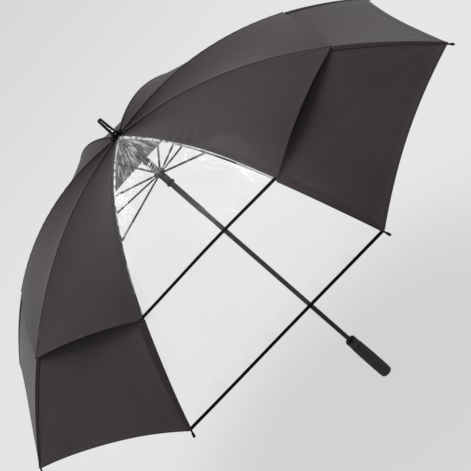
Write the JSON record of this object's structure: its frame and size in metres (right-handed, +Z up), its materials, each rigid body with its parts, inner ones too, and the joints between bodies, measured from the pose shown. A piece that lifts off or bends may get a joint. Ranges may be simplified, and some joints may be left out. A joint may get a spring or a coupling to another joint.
{
  "type": "golf umbrella",
  "caption": "Open straight golf umbrella with a vented double canopy of black cloth, one clear gore from crown to hem, and a straight grip with a push button.",
  "frame": {"origin": "middle of the flat bottom end of the grip, on the shaft's axis", "axes": "+Z up the shaft to the ferrule; -Y through the middle of the clear gore and the push button; +X to the right of it"},
  "size_m": [1.274, 1.274, 0.986],
  "materials": {
    "canopy_cloth": "matte",
    "clear_film": "gloss",
    "shaft_black": "satin",
    "rod_black": "satin",
    "gloss_black": "gloss",
    "black_plastic": "satin",
    "button_plastic": "satin",
    "grip_foam": "matte",
    "spring_steel": "satin"
  },
  "bodies": {
    "shaft_and_handle": {"shaft": "shaft_black", "ferrule": "gloss_black", "crown_cap": "canopy_cloth", "crown_notch": "black_plastic", "stop_ring": "black_plastic", "buffer_spring": "spring_steel", "handle_grip": "grip_foam", "handle_collar": "black_plastic", "button_spring": "spring_steel"},
    "runner": {"runner_collar": "black_plastic", "runner_sleeve": "black_plastic"},
    "release_button": {"release_button": "button_plastic"},
    "rib_inner_1": {"rib_inner_1": "rod_black"},
    "rib_outer_1": {"rib_outer_1": "rod_black", "rib_tip_1": "gloss_black"},
    "stretcher_1": {"stretcher_1": "rod_black"},
    "rib_inner_2": {"rib_inner_2": "rod_black"},
    "rib_outer_2": {"rib_outer_2": "rod_black", "rib_tip_2": "gloss_black"},
    "stretcher_2": {"stretcher_2": "rod_black"},
    "rib_inner_3": {"rib_inner_3": "rod_black"},
    "rib_outer_3": {"rib_outer_3": "rod_black", "rib_tip_3": "gloss_black"},
    "stretcher_3": {"stretcher_3": "rod_black"},
    "rib_inner_4": {"rib_inner_4": "rod_black"},
    "rib_outer_4": {"rib_outer_4": "rod_black", "rib_tip_4": "gloss_black"},
    "stretcher_4": {"stretcher_4": "rod_black"},
    "rib_inner_5": {"rib_inner_5": "rod_black"},
    "rib_outer_5": {"rib_outer_5": "rod_black", "rib_tip_5": "gloss_black"},
    "stretcher_5": {"stretcher_5": "rod_black"},
    "rib_inner_6": {"rib_inner_6": "rod_black"},
    "rib_outer_6": {"rib_outer_6": "rod_black", "rib_tip_6": "gloss_black"},
    "stretcher_6": {"stretcher_6": "rod_black"},
    "rib_inner_7": {"rib_inner_7": "rod_black"},
    "rib_outer_7": {"rib_outer_7": "rod_black", "rib_tip_7": "gloss_black"},
    "stretcher_7": {"stretcher_7": "rod_black"},
    "rib_inner_8": {"rib_inner_8": "rod_black"},
    "rib_outer_8": {"rib_outer_8": "rod_black", "rib_tip_8": "gloss_black"},
    "stretcher_8": {"stretcher_8": "rod_black"},
    "upper_gore_1": {"upper_gore_1": "canopy_cloth"},
    "lower_gore_1": {"lower_gore_1": "canopy_cloth"},
    "upper_gore_2": {"upper_gore_2": "canopy_cloth"},
    "lower_gore_2": {"lower_gore_2": "canopy_cloth"},
    "upper_gore_3": {"upper_gore_3": "canopy_cloth"},
    "lower_gore_3": {"lower_gore_3": "canopy_cloth"},
    "upper_gore_4": {"upper_gore_4": "canopy_cloth"},
    "lower_gore_4": {"lower_gore_4": "canopy_cloth"},
    "upper_gore_5": {"upper_gore_5": "canopy_cloth"},
    "lower_gore_5": {"lower_gore_5": "canopy_cloth"},
    "upper_gore_6": {"upper_gore_6": "canopy_cloth"},
    "lower_gore_6": {"lower_gore_6": "canopy_cloth"},
    "upper_gore_7": {"upper_gore_7": "canopy_cloth"},
    "lower_gore_7": {"lower_gore_7": "canopy_cloth"},
    "upper_gore_8": {"upper_gore_8": "clear_film"},
    "lower_gore_8": {"lower_gore_8": "clear_film"}
  },
  "joints": [
    {"name": "canopy_fold", "type": "hinge", "parent": "shaft_and_handle", "child": "rib_inner_1", "pos_m": [0.00402, -0.0097, 0.925], "axis": [0.9239, 0.3827, 0], "range_deg": [0, 75.35]},
    {"name": "rib_flex_1", "type": "hinge", "parent": "rib_inner_1", "child": "rib_outer_1", "pos_m": [0.12476, -0.30118, 0.86496], "axis": [0.9239, 0.3827, 0], "range_deg": [-21.43, 0]},
    {"name": "stretcher_turn_1", "type": "hinge", "parent": "rib_inner_1", "child": "stretcher_1", "pos_m": [0.12078, -0.2916, 0.86211], "axis": [0.9239, 0.3827, 0], "range_deg": [-150.72, 0]},
    {"name": "rib_fold_2", "type": "hinge", "parent": "shaft_and_handle", "child": "rib_inner_2", "pos_m": [0.0097, -0.00402, 0.925], "axis": [0.3827, 0.9239, 0], "range_deg": [0, 75.35]},
    {"name": "rib_flex_2", "type": "hinge", "parent": "rib_inner_2", "child": "rib_outer_2", "pos_m": [0.30118, -0.12476, 0.86496], "axis": [0.3827, 0.9239, 0], "range_deg": [-21.43, 0]},
    {"name": "stretcher_turn_2", "type": "hinge", "parent": "rib_inner_2", "child": "stretcher_2", "pos_m": [0.2916, -0.12078, 0.86211], "axis": [0.3827, 0.9239, 0], "range_deg": [-150.72, 0]},
    {"name": "rib_fold_3", "type": "hinge", "parent": "shaft_and_handle", "child": "rib_inner_3", "pos_m": [0.0097, 0.00402, 0.925], "axis": [-0.3827, 0.9239, 0], "range_deg": [0, 75.35]},
    {"name": "rib_flex_3", "type": "hinge", "parent": "rib_inner_3", "child": "rib_outer_3", "pos_m": [0.30118, 0.12476, 0.86496], "axis": [-0.3827, 0.9239, 0], "range_deg": [-21.43, 0]},
    {"name": "stretcher_turn_3", "type": "hinge", "parent": "rib_inner_3", "child": "stretcher_3", "pos_m": [0.2916, 0.12078, 0.86211], "axis": [-0.3827, 0.9239, 0], "range_deg": [-150.72, 0]},
    {"name": "rib_fold_4", "type": "hinge", "parent": "shaft_and_handle", "child": "rib_inner_4", "pos_m": [0.00402, 0.0097, 0.925], "axis": [-0.9239, 0.3827, 0], "range_deg": [0, 75.35]},
    {"name": "rib_flex_4", "type": "hinge", "parent": "rib_inner_4", "child": "rib_outer_4", "pos_m": [0.12476, 0.30118, 0.86496], "axis": [-0.9239, 0.3827, 0], "range_deg": [-21.43, 0]},
    {"name": "stretcher_turn_4", "type": "hinge", "parent": "rib_inner_4", "child": "stretcher_4", "pos_m": [0.12078, 0.2916, 0.86211], "axis": [-0.9239, 0.3827, 0], "range_deg": [-150.72, 0]},
    {"name": "rib_fold_5", "type": "hinge", "parent": "shaft_and_handle", "child": "rib_inner_5", "pos_m": [-0.00402, 0.0097, 0.925], "axis": [-0.9239, -0.3827, 0], "range_deg": [0, 75.35]},
    {"name": "rib_flex_5", "type": "hinge", "parent": "rib_inner_5", "child": "rib_outer_5", "pos_m": [-0.12476, 0.30118, 0.86496], "axis": [-0.9239, -0.3827, 0], "range_deg": [-21.43, 0]},
    {"name": "stretcher_turn_5", "type": "hinge", "parent": "rib_inner_5", "child": "stretcher_5", "pos_m": [-0.12078, 0.2916, 0.86211], "axis": [-0.9239, -0.3827, 0], "range_deg": [-150.72, 0]},
    {"name": "rib_fold_6", "type": "hinge", "parent": "shaft_and_handle", "child": "rib_inner_6", "pos_m": [-0.0097, 0.00402, 0.925], "axis": [-0.3827, -0.9239, 0], "range_deg": [0, 75.35]},
    {"name": "rib_flex_6", "type": "hinge", "parent": "rib_inner_6", "child": "rib_outer_6", "pos_m": [-0.30118, 0.12476, 0.86496], "axis": [-0.3827, -0.9239, 0], "range_deg": [-21.43, 0]},
    {"name": "stretcher_turn_6", "type": "hinge", "parent": "rib_inner_6", "child": "stretcher_6", "pos_m": [-0.2916, 0.12078, 0.86211], "axis": [-0.3827, -0.9239, 0], "range_deg": [-150.72, 0]},
    {"name": "rib_fold_7", "type": "hinge", "parent": "shaft_and_handle", "child": "rib_inner_7", "pos_m": [-0.0097, -0.00402, 0.925], "axis": [0.3827, -0.9239, 0], "range_deg": [0, 75.35]},
    {"name": "rib_flex_7", "type": "hinge", "parent": "rib_inner_7", "child": "rib_outer_7", "pos_m": [-0.30118, -0.12476, 0.86496], "axis": [0.3827, -0.9239, 0], "range_deg": [-21.43, 0]},
    {"name": "stretcher_turn_7", "type": "hinge", "parent": "rib_inner_7", "child": "stretcher_7", "pos_m": [-0.2916, -0.12078, 0.86211], "axis": [0.3827, -0.9239, 0], "range_deg": [-150.72, 0]},
    {"name": "rib_fold_8", "type": "hinge", "parent": "shaft_and_handle", "child": "rib_inner_8", "pos_m": [-0.00402, -0.0097, 0.925], "axis": [0.9239, -0.3827, 0], "range_deg": [0, 75.35]},
    {"name": "rib_flex_8", "type": "hinge", "parent": "rib_inner_8", "child": "rib_outer_8", "pos_m": [-0.12476, -0.30118, 0.86496], "axis": [0.9239, -0.3827, 0], "range_deg": [-21.43, 0]},
    {"name": "stretcher_turn_8", "type": "hinge", "parent": "rib_inner_8", "child": "stretcher_8", "pos_m": [-0.12078, -0.2916, 0.86211], "axis": [0.9239, -0.3827, 0], "range_deg": [-150.72, 0]},
    {"name": "runner_slide", "type": "hinge", "parent": "stretcher_1", "child": "runner", "pos_m": [0.00402, -0.0097, 0.79921], "axis": [0.9239, 0.3827, 0], "range_deg": [0, 75.36]},
    {"name": "upper_gore_fold_1", "type": "hinge", "parent": "shaft_and_handle", "child": "upper_gore_1", "pos_m": [0.00686, -0.00686, 0.929], "axis": [0.7071, 0.7071, 0], "range_deg": [0, 67.39], "deforming": ["upper_gore_1"]},
    {"name": "lower_gore_fold_1", "type": "hinge", "parent": "shaft_and_handle", "child": "lower_gore_1", "pos_m": [-0.10987, 0.10987, 1.03929], "axis": [0.7071, 0.7071, 0], "range_deg": [0, 49.41], "deforming": ["lower_gore_1"]},
    {"name": "upper_gore_fold_2", "type": "hinge", "parent": "shaft_and_handle", "child": "upper_gore_2", "pos_m": [0.0097, 0, 0.929], "axis": [0, 1, 0], "range_deg": [0, 67.39], "deforming": ["upper_gore_2"]},
    {"name": "lower_gore_fold_2", "type": "hinge", "parent": "shaft_and_handle", "child": "lower_gore_2", "pos_m": [-0.15539, 0, 1.03929], "axis": [0, 1, 0], "range_deg": [0, 49.41], "deforming": ["lower_gore_2"]},
    {"name": "upper_gore_fold_3", "type": "hinge", "parent": "shaft_and_handle", "child": "upper_gore_3", "pos_m": [0.00686, 0.00686, 0.929], "axis": [-0.7071, 0.7071, 0], "range_deg": [0, 67.39], "deforming": ["upper_gore_3"]},
    {"name": "lower_gore_fold_3", "type": "hinge", "parent": "shaft_and_handle", "child": "lower_gore_3", "pos_m": [-0.10987, -0.10987, 1.03929], "axis": [-0.7071, 0.7071, 0], "range_deg": [0, 49.41], "deforming": ["lower_gore_3"]},
    {"name": "upper_gore_fold_4", "type": "hinge", "parent": "shaft_and_handle", "child": "upper_gore_4", "pos_m": [0, 0.0097, 0.929], "axis": [-1, 0, 0], "range_deg": [0, 67.39], "deforming": ["upper_gore_4"]},
    {"name": "lower_gore_fold_4", "type": "hinge", "parent": "shaft_and_handle", "child": "lower_gore_4", "pos_m": [0, -0.15539, 1.03929], "axis": [-1, 0, 0], "range_deg": [0, 49.41], "deforming": ["lower_gore_4"]},
    {"name": "upper_gore_fold_5", "type": "hinge", "parent": "shaft_and_handle", "child": "upper_gore_5", "pos_m": [-0.00686, 0.00686, 0.929], "axis": [-0.7071, -0.7071, 0], "range_deg": [0, 67.39], "deforming": ["upper_gore_5"]},
    {"name": "lower_gore_fold_5", "type": "hinge", "parent": "shaft_and_handle", "child": "lower_gore_5", "pos_m": [0.10987, -0.10987, 1.03929], "axis": [-0.7071, -0.7071, 0], "range_deg": [0, 49.41], "deforming": ["lower_gore_5"]},
    {"name": "upper_gore_fold_6", "type": "hinge", "parent": "shaft_and_handle", "child": "upper_gore_6", "pos_m": [-0.0097, 0, 0.929], "axis": [0, -1, 0], "range_deg": [0, 67.39], "deforming": ["upper_gore_6"]},
    {"name": "lower_gore_fold_6", "type": "hinge", "parent": "shaft_and_handle", "child": "lower_gore_6", "pos_m": [0.15539, 0, 1.03929], "axis": [0, -1, 0], "range_deg": [0, 49.41], "deforming": ["lower_gore_6"]},
    {"name": "upper_gore_fold_7", "type": "hinge", "parent": "shaft_and_handle", "child": "upper_gore_7", "pos_m": [-0.00686, -0.00686, 0.929], "axis": [0.7071, -0.7071, 0], "range_deg": [0, 67.39], "deforming": ["upper_gore_7"]},
    {"name": "lower_gore_fold_7", "type": "hinge", "parent": "shaft_and_handle", "child": "lower_gore_7", "pos_m": [0.10987, 0.10987, 1.03929], "axis": [0.7071, -0.7071, 0], "range_deg": [0, 49.41], "deforming": ["lower_gore_7"]},
    {"name": "upper_gore_fold_8", "type": "hinge", "parent": "shaft_and_handle", "child": "upper_gore_8", "pos_m": [0, -0.0097, 0.929], "axis": [1, 0, 0], "range_deg": [0, 67.39], "deforming": ["upper_gore_8"]},
    {"name": "lower_gore_fold_8", "type": "hinge", "parent": "shaft_and_handle", "child": "lower_gore_8", "pos_m": [0, 0.15539, 1.03929], "axis": [1, 0, 0], "range_deg": [0, 49.41], "deforming": ["lower_gore_8"]},
    {"name": "release_button", "type": "slide", "parent": "shaft_and_handle", "child": "release_button", "axis": [0, 1, 0], "range_m": [0, 0.0018], "stiffness_N_per_m": 600, "springref_m": -0.002, "deforming": ["button_spring"]}
  ],
  "couplings": [
    {"joint": "rib_flex_1", "follows": "canopy_fold", "ratio": -0.28423},
    {"joint": "stretcher_turn_1", "follows": "canopy_fold", "ratio": -2},
    {"joint": "rib_fold_2", "follows": "canopy_fold", "ratio": 1},
    {"joint": "rib_flex_2", "follows": "canopy_fold", "ratio": -0.28423},
    {"joint": "stretcher_turn_2", "follows": "canopy_fold", "ratio": -2},
    {"joint": "rib_fold_3", "follows": "canopy_fold", "ratio": 1},
    {"joint": "rib_flex_3", "follows": "canopy_fold", "ratio": -0.28423},
    {"joint": "stretcher_turn_3", "follows": "canopy_fold", "ratio": -2},
    {"joint": "rib_fold_4", "follows": "canopy_fold", "ratio": 1},
    {"joint": "rib_flex_4", "follows": "canopy_fold", "ratio": -0.28423},
    {"joint": "stretcher_turn_4", "follows": "canopy_fold", "ratio": -2},
    {"joint": "rib_fold_5", "follows": "canopy_fold", "ratio": 1},
    {"joint": "rib_flex_5", "follows": "canopy_fold", "ratio": -0.28423},
    {"joint": "stretcher_turn_5", "follows": "canopy_fold", "ratio": -2},
    {"joint": "rib_fold_6", "follows": "canopy_fold", "ratio": 1},
    {"joint": "rib_flex_6", "follows": "canopy_fold", "ratio": -0.28423},
    {"joint": "stretcher_turn_6", "follows": "canopy_fold", "ratio": -2},
    {"joint": "rib_fold_7", "follows": "canopy_fold", "ratio": 1},
    {"joint": "rib_flex_7", "follows": "canopy_fold", "ratio": -0.28423},
    {"joint": "stretcher_turn_7", "follows": "canopy_fold", "ratio": -2},
    {"joint": "rib_fold_8", "follows": "canopy_fold", "ratio": 1},
    {"joint": "rib_flex_8", "follows": "canopy_fold", "ratio": -0.28423},
    {"joint": "stretcher_turn_8", "follows": "canopy_fold", "ratio": -2},
    {"joint": "runner_slide", "follows": "canopy_fold", "ratio": 1},
    {"joint": "upper_gore_fold_1", "follows": "canopy_fold", "ratio": 0.89416},
    {"joint": "lower_gore_fold_1", "follows": "canopy_fold", "ratio": 0.65554},
    {"joint": "upper_gore_fold_2", "follows": "canopy_fold", "ratio": 0.89416},
    {"joint": "lower_gore_fold_2", "follows": "canopy_fold", "ratio": 0.65554},
    {"joint": "upper_gore_fold_3", "follows": "canopy_fold", "ratio": 0.89416},
    {"joint": "lower_gore_fold_3", "follows": "canopy_fold", "ratio": 0.65554},
    {"joint": "upper_gore_fold_4", "follows": "canopy_fold", "ratio": 0.89416},
    {"joint": "lower_gore_fold_4", "follows": "canopy_fold", "ratio": 0.65554},
    {"joint": "upper_gore_fold_5", "follows": "canopy_fold", "ratio": 0.89416},
    {"joint": "lower_gore_fold_5", "follows": "canopy_fold", "ratio": 0.65554},
    {"joint": "upper_gore_fold_6", "follows": "canopy_fold", "ratio": 0.89416},
    {"joint": "lower_gore_fold_6", "follows": "canopy_fold", "ratio": 0.65554},
    {"joint": "upper_gore_fold_7", "follows": "canopy_fold", "ratio": 0.89416},
    {"joint": "lower_gore_fold_7", "follows": "canopy_fold", "ratio": 0.65554},
    {"joint": "upper_gore_fold_8", "follows": "canopy_fold", "ratio": 0.89416},
    {"joint": "lower_gore_fold_8", "follows": "canopy_fold", "ratio": 0.65554}
  ]
}
